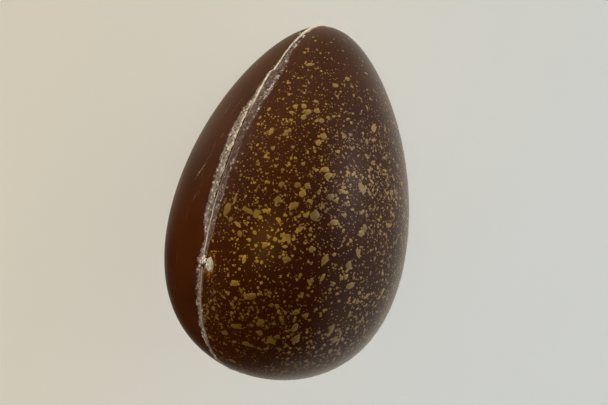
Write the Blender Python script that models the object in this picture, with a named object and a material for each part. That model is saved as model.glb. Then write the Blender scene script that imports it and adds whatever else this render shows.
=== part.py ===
"""Chocolate easter egg: two moulded half shells, one plain and one to be gilded, either side of a cream seam.

The egg lies on its side on a small flat spot, narrow end towards +Y, with the seam on top.
Everything is modelled in the egg's own frame, which one empty then turns and tilts into its resting place:
  X  across the seam, towards the gilded half
  Y  along the egg, from the broad end to the narrow end
  Z  in the seam's plane, towards the side that is on top
"""

import math

import bmesh
import bpy
import numpy as np
from mathutils import Matrix, Vector

# The egg's outline: half its length, the radius at mid-length, and how the girth swells to the broad end
HALF_LENGTH = 0.0700
GIRTH_RADIUS = 0.0457
GIRTH_SLOPE = -0.241
GIRTH_SWELL = 0.031
GIRTH_TIP = -0.064

# How it lies: the seam is turned away from straight up, and the flat spot is a shallow slice off the shell
SEAM_TURN = math.radians(31.2)
FLAT_DEPTH = 0.0005
CUT_TOLERANCE = 1e-7

# The cream plate that joins the halves, and the clearance between neighbours
CREAM_HALF_THICKNESS = 0.00065
CREAM_PROUD = 0.00020
CREAM_EDGE_ROUND = 0.00035
CREAM_EDGE_SHARES = (-1.0, -0.55, 0.0, 0.55, 1.0)
TIP_LUMP_PROUD = 0.00045
TIP_LUMP_ANGLE = math.radians(17)
TIP_LUMP_SPREAD = math.radians(9)
GAP = 0.0003
FACE_OFFSET = CREAM_HALF_THICKNESS + GAP

# The rims, scraped and crumbly where the seam was trimmed
SCRAPE_DEPTH = 0.00035
SCRAPE_CRUMB = 0.00014
SCRAPE_WIDTH = 0.0012
SCRAPE_FADE = 0.0008
PLAIN_SCRAPES = (
    # angle round the outline, its spread, extra width
    (math.radians(76), math.radians(9), 0.0022),
    (math.radians(96), math.radians(10), 0.0012),
    (math.radians(124), math.radians(12), 0.0006),
)
GILDED_SCRAPES = (
    (math.radians(57), math.radians(9), 0.0028),
    (math.radians(80), math.radians(14), 0.0012),
)
CRUMB_SEED = 7

# The chip in the gilded rim, a shallow oval pocket that the cream fills to just below the surface
CHIP_ANGLE = math.radians(113.5)
CHIP_ACROSS = 0.00185
CHIP_ALONG = 0.00235
CHIP_OVERLAP = 0.0005
CHIP_CENTRE = CHIP_ACROSS - CHIP_OVERLAP
CHIP_FILL_TOP = 0.00020
CHIP_FILL_BOTTOM = 0.00090
CHIP_POCKET_TOP = 0.0020
CHIP_SIDES = 20

# The mesh: columns round the outline, rings across the rim, rings from there to the side's crown
COLUMNS = 144
RIM_RINGS = (0.0, 0.0006, 0.0014, 0.0024, 0.0036, 0.0050, 0.0068)
CROWN_COLUMNS = 72
CROWN_RINGS = 14
OUTLINE_SAMPLES = 4001

SHARP_ANGLE = math.radians(45)

# Colours are linear
DARK_MILK = (0.066, 0.029, 0.012)
GILDED_BROWN = (0.150, 0.080, 0.018)
CREAM = (0.530, 0.440, 0.290)


def clear_scene():
    """Remove what a new file holds."""
    for old in list(bpy.data.objects):
        bpy.data.objects.remove(old, do_unlink=True)


def make_material(name, colour, roughness, metallic=0.0):
    """One Principled finish."""
    material = bpy.data.materials.new(name)
    material.use_nodes = True
    shader = material.node_tree.nodes["Principled BSDF"]
    shader.inputs["Base Color"].default_value = (*colour, 1.0)
    shader.inputs["Roughness"].default_value = roughness
    shader.inputs["Metallic"].default_value = metallic
    return material


# The egg as a formula: a unit sphere, stretched to the length and to the girth of each station

def girth(station):
    """Radius that the sphere is stretched to at a station from -1, broad end, to 1, narrow end."""
    return GIRTH_RADIUS * (1 + station * (GIRTH_SLOPE + station * (GIRTH_SWELL + station * GIRTH_TIP)))


def shell_points(around, across):
    """Points of the egg's surface, by the angle round the seam's outline and the angle away from the seam."""
    station = np.cos(across) * np.cos(around)
    width = girth(station)
    return np.stack([width * np.sin(across),
                     HALF_LENGTH * station,
                     width * np.cos(across) * np.sin(around)], axis=-1)


def outline_normals(around):
    """Outward directions of the seam's outline, in its own plane."""
    step = 1e-4
    ahead = shell_points(around + step, np.zeros_like(around))
    behind = shell_points(around - step, np.zeros_like(around))
    tangent = ahead - behind
    normal = np.stack([np.zeros_like(around), tangent[:, 2], -tangent[:, 1]], axis=-1)
    return normal / np.linalg.norm(normal, axis=1, keepdims=True)


def ring_angles(count):
    """Even angles round the outline, starting at the narrow end."""
    return np.arange(count) * (2 * math.pi / count)


def rim_angle(around, distance):
    """Angle away from the seam at which the shell is a distance from the seam's middle plane."""
    return np.arcsin(distance / girth(np.cos(around)))


def bump(around, centre, spread):
    """A smooth rise to 1 at an angle of the outline."""
    return np.exp(-((around - centre) / spread) ** 2)


# Pieces of mesh

def add_ring(bm, points):
    """A closed ring of edges through the points."""
    verts = [bm.verts.new(point) for point in points]
    return [bm.edges.new((vert, verts[index - 1])) for index, vert in enumerate(verts)]


def skin_rings(bm, rings):
    """Faces between each ring and the next."""
    edge_rings = [add_ring(bm, ring) for ring in rings]
    for lower, upper in zip(edge_rings, edge_rings[1:]):
        bmesh.ops.bridge_loops(bm, edges=lower + upper)
    return edge_rings


def finish_mesh(bm, name, material, frame):
    """Put the mesh into an object of its own, in the egg's frame."""
    bmesh.ops.recalc_face_normals(bm, faces=bm.faces)
    mesh = bpy.data.meshes.new(name)
    bm.to_mesh(mesh)
    bm.free()
    mesh.shade_smooth()
    mesh.set_sharp_from_angle(angle=SHARP_ANGLE)
    mesh.materials.append(material)
    piece = bpy.data.objects.new(name, mesh)
    piece.parent = frame
    bpy.context.scene.collection.objects.link(piece)
    return piece


# The halves

def scrape_relief(around, distance, scrapes, crumbs):
    """How deep the scraped rim lies below the shell, at a distance from the half's flat face."""
    width = SCRAPE_WIDTH + sum(extra * bump(around, centre, spread) for centre, spread, extra in scrapes)
    inside = np.clip((width + SCRAPE_FADE - distance) / SCRAPE_FADE, 0, 1)
    return inside * (SCRAPE_DEPTH + SCRAPE_CRUMB * crumbs)


def half_rings(side, scrapes):
    """Rings of points from the flat face to the crown of one side, which is 1 or -1."""
    around = ring_angles(COLUMNS)
    normals = outline_normals(around)
    crumbs = np.random.default_rng(CRUMB_SEED + side).uniform(-1, 1, (len(RIM_RINGS), COLUMNS))
    mirror = np.array([side, 1, 1])
    rings = []
    for distance, crumb in zip(RIM_RINGS, crumbs):
        points = shell_points(around, rim_angle(around, FACE_OFFSET + distance))
        points[:, 0] = FACE_OFFSET + distance
        relief = scrape_relief(around, distance, scrapes, crumb)
        rings.append((points - relief[:, None] * normals) * mirror)
    around = ring_angles(CROWN_COLUMNS)
    start = rim_angle(around, FACE_OFFSET + RIM_RINGS[-1])
    for ring in range(1, CROWN_RINGS):
        share = ring / CROWN_RINGS
        rings.append(shell_points(around, start + share * (math.pi / 2 - start)) * mirror)
    return rings


def cut_flat_spot(bm, down, reach):
    """Slice the shell square to the downward direction and close the cut with one flat face."""
    cut = bmesh.ops.bisect_plane(
        bm, geom=list(bm.verts) + list(bm.edges) + list(bm.faces), dist=CUT_TOLERANCE,
        plane_co=down * (reach - FLAT_DEPTH), plane_no=down, clear_outer=True)
    edges = [item for item in cut["geom_cut"] if isinstance(item, bmesh.types.BMEdge)]
    if edges:
        bmesh.ops.contextual_create(bm, geom=edges)


def make_half(name, side, scrapes, material, frame, rest):
    """One solid half: a flat face at the seam, a crumbly scraped rim and a smooth domed side."""
    bm = bmesh.new()
    edge_rings = skin_rings(bm, half_rings(side, scrapes))
    bmesh.ops.contextual_create(bm, geom=edge_rings[0])
    crown_face = bmesh.ops.contextual_create(bm, geom=edge_rings[-1])["faces"]
    crown = bmesh.ops.poke(bm, faces=crown_face)["verts"][0]
    crown.co = (side * girth(0.0), 0, 0)
    cut_flat_spot(bm, *rest)
    return finish_mesh(bm, name, material, frame)


# The cream

def make_cream_plate(material, frame):
    """The plate that runs right through the egg, its rounded edge a little proud of the shells."""
    around = ring_angles(COLUMNS)
    normals = outline_normals(around)
    proud = CREAM_PROUD + TIP_LUMP_PROUD * bump(around, TIP_LUMP_ANGLE, TIP_LUMP_SPREAD)
    rings = []
    for share in CREAM_EDGE_SHARES:
        points = shell_points(around, np.zeros_like(around))
        points[:, 0] = share * CREAM_HALF_THICKNESS
        height = proud - CREAM_EDGE_ROUND * share ** 2
        rings.append(points + height[:, None] * normals)
    bm = bmesh.new()
    edge_rings = skin_rings(bm, rings)
    bmesh.ops.contextual_create(bm, geom=edge_rings[0])
    bmesh.ops.contextual_create(bm, geom=edge_rings[-1])
    return finish_mesh(bm, "cream_seam", material, frame)


def make_chip_block(name, margin, top, material, frame):
    """An oval block set square to the shell over the chip, reaching into the cream plate's edge."""
    around = np.array([CHIP_ANGLE])
    up = Vector(outline_normals(around)[0])
    across = Vector((1, 0, 0))
    along = up.cross(across)
    bottom = -CHIP_FILL_BOTTOM - margin
    middle = Vector(shell_points(around, np.zeros(1))[0]) + across * CHIP_CENTRE + up * (top + bottom) / 2
    axes = Matrix((across, along, up)).transposed().to_4x4()
    size = Matrix.Diagonal((CHIP_ACROSS + margin, CHIP_ALONG + margin, top - bottom, 1))
    bm = bmesh.new()
    bmesh.ops.create_cone(bm, cap_ends=True, segments=CHIP_SIDES, radius1=1, radius2=1, depth=1,
                          matrix=Matrix.Translation(middle) @ axes @ size)
    block = finish_mesh(bm, name, material, frame)
    block.hide_render = True
    block.display_type = "WIRE"
    return block


def combine(piece, block, operation):
    """Cut the block out of the piece, or join it on."""
    modifier = piece.modifiers.new(block.name, "BOOLEAN")
    modifier.operation = operation
    modifier.object = block


# How the egg lies

def resting_tilt():
    """Tilt of the narrow end towards the floor, and the way down from mid-length to the shell there."""
    station = np.linspace(-1, 1, OUTLINE_SAMPLES)
    radius = girth(station) * np.sqrt(1 - station ** 2)
    along = HALF_LENGTH * station
    balance = np.sum(along * radius ** 2) / np.sum(radius ** 2)
    touch = np.argmin(np.hypot(along - balance, radius))
    tilt = math.atan2(along[touch] - balance, radius[touch])
    return tilt, radius[touch] * math.cos(tilt) + along[touch] * math.sin(tilt)


def place_on_origin(frame, pieces, reach):
    """Stand the flat spot on the floor, with the middle of the egg's box over the origin."""
    turn = np.array(frame.rotation_euler.to_matrix())
    corners = []
    for piece in pieces:
        points = np.empty(len(piece.data.vertices) * 3, dtype=np.float32)
        piece.data.vertices.foreach_get("co", points)
        points = points.reshape(-1, 3) @ turn.T
        corners += [points.min(axis=0), points.max(axis=0)]
    middle = (np.min(corners, axis=0) + np.max(corners, axis=0)) / 2
    frame.location = (-middle[0], -middle[1], reach - FLAT_DEPTH)


def build_egg():
    """Make the pieces and lay the egg down."""
    clear_scene()
    chocolate = make_material("dark_milk_chocolate", DARK_MILK, 0.32)
    gilded = make_material("gilded_chocolate", GILDED_BROWN, 0.36, 0.3)
    cream = make_material("cream_filling", CREAM, 0.55)

    tilt, reach = resting_tilt()
    turn = Matrix.Rotation(-tilt, 3, "X") @ Matrix.Rotation(-SEAM_TURN, 3, "Y")
    down = turn.transposed() @ Vector((0, 0, -1))
    frame = bpy.data.objects.new("egg_frame", None)
    frame.rotation_euler = turn.to_euler()
    bpy.context.scene.collection.objects.link(frame)

    plain_half = make_half("plain_half", -1, PLAIN_SCRAPES, chocolate, frame, (down, reach))
    gold_half = make_half("gold_half", 1, GILDED_SCRAPES, gilded, frame, (down, reach))
    cream_seam = make_cream_plate(cream, frame)

    pocket = make_chip_block("chip_pocket", GAP, CHIP_POCKET_TOP, gilded, frame)
    filling = make_chip_block("chip_filling", 0.0, -CHIP_FILL_TOP, cream, frame)
    combine(gold_half, pocket, "DIFFERENCE")
    combine(cream_seam, filling, "UNION")
    place_on_origin(frame, (plain_half, gold_half, cream_seam), reach)


build_egg()
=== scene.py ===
"""The looks of a moulded chocolate easter egg: a plain half, a gold-spattered half, and cream between them.

Shapes are worked out in the egg's own frame, in metres, and then laid down as the egg rests:
  X  across the seam, towards the gilded half
  Y  along the egg, from the broad end to the narrow end
  Z  in the seam's plane, towards the side that is on top
"""

import itertools
import logging
import math
from collections.abc import Callable
from dataclasses import dataclass, replace
from enum import Enum
from functools import cached_property
from typing import Any

import bpy
import numpy as np
from mathutils import Matrix, Vector


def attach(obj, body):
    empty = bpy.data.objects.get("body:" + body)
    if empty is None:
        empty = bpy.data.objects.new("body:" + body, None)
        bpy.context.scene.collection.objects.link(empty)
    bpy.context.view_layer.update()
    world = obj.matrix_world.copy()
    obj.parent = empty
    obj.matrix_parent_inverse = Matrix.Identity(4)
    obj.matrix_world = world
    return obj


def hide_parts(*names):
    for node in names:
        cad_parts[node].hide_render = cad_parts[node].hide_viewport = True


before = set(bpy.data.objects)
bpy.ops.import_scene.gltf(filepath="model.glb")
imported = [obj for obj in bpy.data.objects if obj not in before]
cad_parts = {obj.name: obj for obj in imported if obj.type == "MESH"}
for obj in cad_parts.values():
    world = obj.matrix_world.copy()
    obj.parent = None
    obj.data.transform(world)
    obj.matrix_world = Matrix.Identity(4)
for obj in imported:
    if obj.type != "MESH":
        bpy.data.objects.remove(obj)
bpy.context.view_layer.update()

logging.basicConfig(level=logging.INFO, format="%(message)s")
LOG = logging.getLogger("egg")

MM = 0.001
TURN = 2.0 * math.pi
ALONG = np.array([0.0, 1.0, 0.0])
LATTICE_PRIMES = np.array([73856093, 19349663, 83492791])
SEED_PRIME = 40503
SHIFTS_AND_MIXERS = ((15, 2246822519), (13, 3266489917))
WORD = 0xFFFFFFFF
SHORT = 0xFFFF

Array = np.ndarray
Rng = np.random.Generator
Pixel = tuple[float, float]
Triple = tuple[float, float, float]
Ring = tuple[int, int]


class Side(Enum):
    """The two moulded halves, by the sign of X on their side of the seam."""

    PLAIN = -1
    GILDED = 1


class Slot(Enum):
    """The record's material slots."""

    CHOCOLATE = "dark_milk_chocolate"
    GILDED = "gilded_chocolate"
    CREAM = "cream"


# Numbers on arrays

def smooth_step(low: float, high: float, value: Array) -> Array:
    """Ease from 0 at low to 1 at high, by 3t^2 - 2t^3; low may be above high, for a fall."""
    part = np.clip((value - low) / (high - low), 0.0, 1.0)
    return part * part * (3.0 - 2.0 * part)


def bump(value: Array, centre: float, spread: float) -> Array:
    """A bell of height 1 at its centre, which falls to 1/e at its spread."""
    return np.exp(-(((value - centre) / spread) ** 2))


def unit(vectors: Array) -> Array:
    """The vectors at length 1."""
    return vectors / np.linalg.norm(vectors, axis=-1, keepdims=True)


def even_angles(count: int) -> Array:
    """Even angles round a full turn."""
    return np.arange(count) * (TURN / count)


def lattice_noise(points: Array, size: float, seed: int) -> Array:
    """Smooth noise from -1 to 1: random values at the corners of a cubic lattice, eased between them.

    Args:
        points: positions in metres, with X, Y and Z on the last axis.
        size: the lattice's spacing in millimetres.
        seed: picks the set of values.

    Returns:
        The noise at each point.
    """
    grid = points / (size * MM)
    cell = np.floor(grid).astype(np.int64)
    part = grid - cell
    ease = part * part * (3.0 - 2.0 * part)
    total = np.zeros(points.shape[:-1])
    for corner in itertools.product((0, 1), repeat=3):
        code = np.bitwise_xor.reduce((cell + np.array(corner)) * LATTICE_PRIMES, axis=-1) ^ seed * SEED_PRIME
        for shift, mixer in SHIFTS_AND_MIXERS:
            code = (code ^ (code >> shift)) * mixer & WORD
        value = ((code >> 8) & SHORT) / (SHORT / 2) - 1.0
        total += value * np.prod(np.where(np.array(corner) == 1, ease, 1.0 - ease), axis=-1)
    return total


# The egg's form and how it lies

@dataclass(frozen=True)
class EggForm:
    """The moulded shell: a unit sphere stretched to the egg's length and to each station's girth."""

    half_length: float = 70.0 * MM
    girth_radius: float = 45.7 * MM
    girth_slope: float = -0.241
    girth_swell: float = 0.031
    girth_tip: float = -0.064
    last_station: float = 1.1

    def girth(self, station: Array) -> Array:
        """Radius that the sphere is stretched to at a station, from -1 at the broad end to 1."""
        return self.girth_radius * (
            1.0 + station * (self.girth_slope + station * (self.girth_swell + station * self.girth_tip)))

    def girth_change(self, station: Array) -> Array:
        """How fast the girth grows along the stations."""
        return self.girth_radius * (
            self.girth_slope + station * (2.0 * self.girth_swell + station * 3.0 * self.girth_tip))

    def from_sphere(self, directions: Array) -> Array:
        """Points of the shell for points of the unit sphere."""
        width = self.girth(directions[..., 1])
        return directions * np.stack([width, np.full_like(width, self.half_length), width], axis=-1)

    def to_sphere(self, points: Array) -> Array:
        """Points of the unit sphere for points near the shell."""
        station = np.clip(points[..., 1] / self.half_length, -self.last_station, self.last_station)
        width = self.girth(station)
        return unit(np.stack([points[..., 0] / width, station, points[..., 2] / width], axis=-1))

    def wrap(self, points: Array) -> Array:
        """The points laid onto the shell."""
        return self.from_sphere(self.to_sphere(points))

    def shell(self, around: Array, across: Array) -> Array:
        """Points of the shell by two angles.

        Args:
            around: angle from the narrow end, over the top to the broad end and back below.
            across: angle away from the seam's plane, towards +X.

        Returns:
            The points.
        """
        return self.from_sphere(np.stack([np.sin(across) * np.ones_like(around),
                                          np.cos(across) * np.cos(around),
                                          np.cos(across) * np.sin(around)], axis=-1))

    def beside(self, around: Array, aside: Array) -> Array:
        """Points of the shell by the angle round the outline and the distance from the seam's plane."""
        return self.shell(around, np.arcsin(aside / self.girth(np.cos(around))))

    def normals(self, points: Array) -> Array:
        """Outward directions: the gradient of (x^2 + z^2) / girth^2 + station^2, which is 1 on the shell.

        Args:
            points: points on or near the shell.

        Returns:
            Unit vectors.
        """
        station = points[..., 1] / self.half_length
        width = self.girth(station)
        spread = points[..., 0] ** 2 + points[..., 2] ** 2
        along = (station - spread * self.girth_change(station) / width ** 3) / self.half_length
        return unit(np.stack([points[..., 0] / width ** 2, along, points[..., 2] / width ** 2], axis=-1))

    def lifted(self, points: Array, height: Array) -> Array:
        """The points moved outwards by a height each."""
        return points + height[..., None] * self.normals(points)


@dataclass(frozen=True)
class RestingPlace:
    """How the egg lies: the seam turned from straight up, the narrow end dipped to its balance."""

    form: EggForm
    seam_turn: float = math.radians(31.2)
    flat_depth: float = 0.5 * MM
    seam_proud: float = 0.2 * MM
    inset: float = 0.998
    stations: int = 4001
    samples: int = 721

    @cached_property
    def balance(self) -> tuple[float, float]:
        """Where the shell's normal passes through the centre of mass.

        Returns:
            The dip of the narrow end, and the way down from mid-length to the shell there.
        """
        station = np.linspace(-1.0, 1.0, self.stations)
        radius = self.form.girth(station) * np.sqrt(1.0 - station ** 2)
        along = self.form.half_length * station
        centre = np.sum(along * radius ** 2) / np.sum(radius ** 2)
        touch = int(np.argmin(np.hypot(along - centre, radius)))
        dip = math.atan2(along[touch] - centre, radius[touch])
        return dip, float(radius[touch] * math.cos(dip) + along[touch] * math.sin(dip))

    def dip_matrix(self) -> Array:
        """The turn that lowers the narrow end."""
        return np.array(Matrix.Rotation(-self.balance[0], 3, "X"))

    def turn_matrix(self) -> Array:
        """The whole turn from the egg's frame to the floor's."""
        return self.dip_matrix() @ np.array(Matrix.Rotation(-self.seam_turn, 3, "Y"))

    @cached_property
    def place(self) -> Array:
        """Where mid-length of the egg's axis lies: the box's middle over the origin, the flat spot at 0."""
        around, across = np.meshgrid(np.linspace(0.0, TURN, self.samples),
                                     np.linspace(-math.pi / 2, math.pi / 2, self.samples))
        rim = self.form.shell(around[:1], np.zeros_like(around[:1]))
        rim = self.form.lifted(rim, np.full(rim.shape[:-1], self.seam_proud))
        points = np.concatenate([self.form.shell(around, across).reshape(-1, 3), rim.reshape(-1, 3)])
        points = points @ self.turn_matrix().T
        middle = (points.min(axis=0) + points.max(axis=0)) / 2.0
        return np.array([-middle[0], -middle[1], self.balance[1] - self.flat_depth])

    def lay(self, points: Array) -> Array:
        """The points laid on the floor, flat where they touch it.

        All is a hair smaller than the solids, so that the gold and the crumbs stay inside their box.

        Args:
            points: points in the egg's frame.

        Returns:
            Points in the floor's frame, none of them below it.
        """
        laid = self.inset * (points @ self.turn_matrix().T + self.place)
        laid[..., 2] = np.maximum(laid[..., 2], 0.0)
        return laid


@dataclass(frozen=True)
class View:
    """The camera: a short wide lens close above the egg, square to its axis and rolled."""

    form: EggForm
    rest: RestingPlace
    frame_width: int = 608
    frame_height: int = 405
    focal_pixels: float = 457.0
    sensor: float = 36.0
    near_clip: float = 0.01
    roll: float = math.radians(11.3)
    spot: Triple = (3.7 * MM, -0.6 * MM, 184.8 * MM)
    # Where the shell is looked for along a ray, as shares of the camera's height
    search: tuple[float, float] = (0.5, 1.1)
    samples: int = 4000

    def axes(self) -> Array:
        """The camera's right, up and backward directions as columns, before the egg's dip."""
        return np.array(Matrix.Rotation(self.roll, 3, "Z"))

    def on_shell(self, pixel: Pixel) -> Array:
        """The point of the shell that the photograph shows at a pixel, found by steps along its ray.

        Args:
            pixel: column and row in the photograph's frame.

        Returns:
            A point in the egg's frame.
        """
        column, row = pixel
        ray = np.array([column - self.frame_width / 2, self.frame_height / 2 - row, -self.focal_pixels])
        upright = np.array(Matrix.Rotation(-self.rest.seam_turn, 3, "Y"))
        ray, start = unit(self.axes() @ ray) @ upright, np.array(self.spot) @ upright
        steps = np.linspace(*(share * self.spot[2] for share in self.search), self.samples)
        points = start + ray * steps[:, None]
        station = points[:, 1] / self.form.half_length
        reach = (points[:, 0] ** 2 + points[:, 2] ** 2) / self.form.girth(station) ** 2 + station ** 2
        hit = int(np.argmax(reach < 1.0)) if (reach < 1.0).any() else int(np.argmin(reach))
        return self.form.wrap(points[hit])

    def around_at(self, pixel: Pixel) -> float:
        """The angle round the seam's outline of what a pixel shows."""
        point = self.form.to_sphere(self.on_shell(pixel))
        return float(np.arctan2(point[2], point[1]))

    def build(self) -> None:
        """Make the scene's camera."""
        dip = self.rest.dip_matrix()
        lens = bpy.data.cameras.new("camera")
        lens.sensor_width = self.sensor
        lens.lens = self.focal_pixels * self.sensor / self.frame_width
        lens.clip_start = self.near_clip
        camera = bpy.data.objects.new("camera", lens)
        camera.matrix_world = (Matrix.Translation((dip @ np.array(self.spot) + self.rest.place).tolist())
                               @ Matrix((dip @ self.axes()).tolist()).to_4x4())
        bpy.context.scene.collection.objects.link(camera)
        bpy.context.scene.camera = camera


# Meshes from whole arrays

class Patch:
    """Points, triangles and values that grow into one mesh. A ring is its first point and their number."""

    def __init__(self) -> None:
        """Start with nothing."""
        self.points: list[Array] = []
        self.triangles: list[Array] = []
        self.values: dict[str, list[Array]] = {}
        self.count = 0

    def add(self, points: Array, **values: Any) -> int:
        """Add points.

        Args:
            points: positions, with X, Y and Z on the last axis.
            values: a number for all points, or one for each, by attribute.

        Returns:
            The index of the first of them.
        """
        start = self.count
        self.points.append(points.reshape(-1, 3))
        for name, value in values.items():
            self.values.setdefault(name, []).append(np.broadcast_to(value, points.shape[:-1]).reshape(-1))
        self.count += self.points[-1].shape[0]
        return start

    def ring(self, points: Array, **values: Any) -> Ring:
        """Add points that make a closed ring."""
        return self.add(points, **values), len(points)

    def face(self, *corners: Array) -> None:
        """Add triangles, or quads cut in two, by the point numbers of their corners."""
        for second, third in zip(corners[1:], corners[2:]):
            self.triangles.append(np.stack([corners[0], second, third], axis=-1).reshape(-1, 3))

    def tube(self, rings: list[Ring]) -> None:
        """Join each closed ring to the next, which has as many points or half as many."""
        for (first, first_count), (second, second_count) in zip(rings, rings[1:]):
            here = np.arange(second_count)
            there = (here + 1) % second_count
            if first_count == second_count:
                self.face(first + here, first + there, second + there, second + here)
                continue
            middle, right = first + 2 * here + 1, first + (2 * here + 2) % first_count
            self.face(first + 2 * here, middle, second + here)
            self.face(middle, right, second + there)
            self.face(middle, second + there, second + here)

    def cap(self, ring: Ring, point: Array, reverse: bool = False, **values: Any) -> None:
        """Close a ring with one point.

        Args:
            ring: the ring.
            point: the point that all its sides meet at.
            reverse: faces the other way.
            values: the point's attributes.
        """
        start, count = ring
        here = start + np.arange(count)
        there = start + (np.arange(count) + 1) % count
        centre = np.full(count, self.add(point.reshape(1, 3), **values))
        self.face(*((there, here) if reverse else (here, there)), centre)

    def build(self, name: str, rest: RestingPlace, sharp: float) -> bpy.types.Object:
        """Lay the patch down and make its object.

        Args:
            name: the piece's name.
            rest: how the egg lies.
            sharp: the angle in degrees past which an edge isn't smoothed.

        Returns:
            The object, at the origin.
        """
        points = rest.lay(np.concatenate(self.points))
        triangles = np.concatenate(self.triangles)
        corners = points[triangles]
        volume = np.einsum("ij,ij->i", corners[:, 0], np.cross(corners[:, 1], corners[:, 2])).sum()
        if volume < 0.0:
            triangles = triangles[:, ::-1]
        mesh = bpy.data.meshes.new(name)
        mesh.vertices.add(len(points))
        mesh.vertices.foreach_set("co", points.astype(np.float32).ravel())
        mesh.loops.add(triangles.size)
        mesh.loops.foreach_set("vertex_index", triangles.astype(np.int32).ravel())
        mesh.polygons.add(len(triangles))
        mesh.polygons.foreach_set("loop_start", np.arange(0, triangles.size, 3, dtype=np.int32))
        mesh.update(calc_edges=True)
        for key, parts in self.values.items():
            attribute = mesh.attributes.new(key, "FLOAT", "POINT")
            attribute.data.foreach_set("value", np.concatenate(parts).astype(np.float32))
        mesh.shade_smooth()
        mesh.set_sharp_from_angle(angle=math.radians(sharp))
        piece = bpy.data.objects.new(name, mesh)
        bpy.context.scene.collection.objects.link(piece)
        LOG.info("%s: %d points, %d triangles", name, len(points), len(triangles))
        return piece


# The seam: its bead, its scraped rims and its chip, by the angle round the outline

@dataclass(frozen=True)
class Seam:
    """Widths and heights along the seam. Angles run from the narrow end over the top to the broad end."""

    form: EggForm
    view: View
    # Angle in degrees, then millimetres, as the photograph shows them from top to bottom
    bead_half_widths: tuple = (
        (0, 1.75), (14, 1.75), (22, 1.30), (29, 0.76), (35, 0.44), (47, 0.32), (53, 0.44), (64, 0.50),
        (69, 0.30), (74, 0.19), (92, 0.19), (97, 0.22), (106, 0.22), (114, 0.17), (150, 0.20), (180, 0.28))
    bead_heights: tuple = (
        (0, 0.24), (17, 0.42), (30, 0.28), (44, 0.14), (60, 0.16), (70, 0.02), (94, 0.02), (102, 0.12),
        (180, 0.12))
    plain_scrapes: tuple = (
        (0, 0.1), (48, 0.1), (58, 0.5), (66, 1.6), (72, 3.0), (79, 3.2), (90, 2.6), (100, 2.3), (103, 1.4),
        (105, 0.3), (107, 0.8), (110, 1.8), (120, 1.6), (134, 1.3), (142, 0.7), (160, 0.5), (180, 0.5))
    gilded_scrapes: tuple = (
        (0, 0.2), (28, 0.3), (35, 1.2), (42, 1.9), (47, 2.5), (52, 3.3), (60, 3.3), (66, 2.7), (80, 2.2),
        (95, 2.0), (103, 1.9), (108, 0.8), (125, 0.3), (180, 0.3))
    # Angle, then how pale the bead is, from 0 where chocolate was dragged over it to 1 where it is clean
    bead_tones: tuple = (
        (0, 0.52), (22, 0.56), (36, 0.92), (46, 0.80), (62, 0.72), (69, 0.10), (89, 0.12), (97, 0.85),
        (106, 1.0), (113, 0.62), (122, 0.42), (150, 0.48), (180, 0.60))
    # Angle, then how strongly the plain half's rim shows a pale strip beside the bead
    pale_strips: tuple = (
        (0, 0.0), (58, 0.0), (65, 0.6), (71, 1.0), (78, 0.75), (84, 0.40), (92, 0.12), (97, 0.0), (180, 0.0))
    kink_pixel: Pixel = (272.5, 70.0)
    kink_shift: float = 0.54 * MM
    kink_sharpness: float = math.radians(0.4)
    kink_reach: float = math.radians(9)
    wander: float = 0.05 * MM
    rim_gap: float = 0.02 * MM
    crack_width: float = 0.68 * MM
    # Degrees where the plain rim's crack opens and closes; middle, spread and share of the gilded rim's
    plain_crack: tuple = ((64, 70), (104, 98))
    gilded_crack: tuple = (30, 14, 0.7)
    chip_pixel: Pixel = (208.0, 265.5)
    chip_along: float = 2.35 * MM
    chip_across: float = 1.70 * MM
    chip_depth: float = 0.75 * MM

    def folded(self, around: Array) -> Array:
        """The angle in degrees from 0 to 180, the same on the unseen side of the egg."""
        return np.degrees(np.abs(np.arctan2(np.sin(around), np.cos(around))))

    def level(self, table: tuple, around: Array) -> Array:
        """A table's value at each angle."""
        angles, values = np.array(table).T
        return np.interp(self.folded(around), angles, values)

    def read(self, table: tuple, around: Array) -> Array:
        """A table's value at each angle, turned from millimetres to metres."""
        return self.level(table, around) * MM

    def outline(self, around: Array) -> Array:
        """Points of the seam's outline."""
        return self.form.shell(around, np.zeros_like(around))

    def middle(self, around: Array) -> Array:
        """How far the bead wanders from the seam's plane, with the small step near the narrow end."""
        kink = self.view.around_at(self.kink_pixel)
        step = np.tanh((around - kink) / self.kink_sharpness) * bump(around, kink, self.kink_reach)
        return self.wander * lattice_noise(self.outline(around), 6, 31) - self.kink_shift * step

    def half_width(self, around: Array) -> Array:
        """Half the bead's width, a little uneven."""
        outline = self.outline(around)
        uneven = 1.0 + 0.22 * lattice_noise(outline, 1.6, 32) + 0.16 * lattice_noise(outline, 0.7, 35)
        return self.read(self.bead_half_widths, around) * uneven

    def scrape_width(self, around: Array, side: Side) -> Array:
        """How wide the scraped band of a half is."""
        return self.read(self.plain_scrapes if side is Side.PLAIN else self.gilded_scrapes, around)

    def rim_offset(self, around: Array, side: Side) -> Array:
        """Where a half's rim starts: close to the bead, apart from a crumbly crack along a stretch of it.

        Args:
            around: angle round the outline.
            side: which half.

        Returns:
            Distances from the seam's plane.
        """
        edge = side.value * self.middle(around) + self.half_width(around) + self.rim_gap
        angle = self.folded(around)
        opens, closes = self.plain_crack
        open_stretch = smooth_step(*opens, angle) * smooth_step(*closes, angle)
        if side is Side.GILDED:
            middle, spread, share = self.gilded_crack
            open_stretch = share * bump(angle, middle, spread)
        crumbly = 0.9 + 0.3 * lattice_noise(self.outline(around), 1.2, 33)
        return edge + self.crack_width * open_stretch * crumbly

    @cached_property
    def chip_axes(self) -> tuple[Array, Array, Array, Array]:
        """The chip's middle on the shell, outward direction, and directions across and along it."""
        centre = self.view.on_shell(self.chip_pixel)
        normal = self.form.normals(centre)
        across = unit(np.cross(ALONG, normal))
        return centre, normal, across, np.cross(normal, across)

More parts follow.
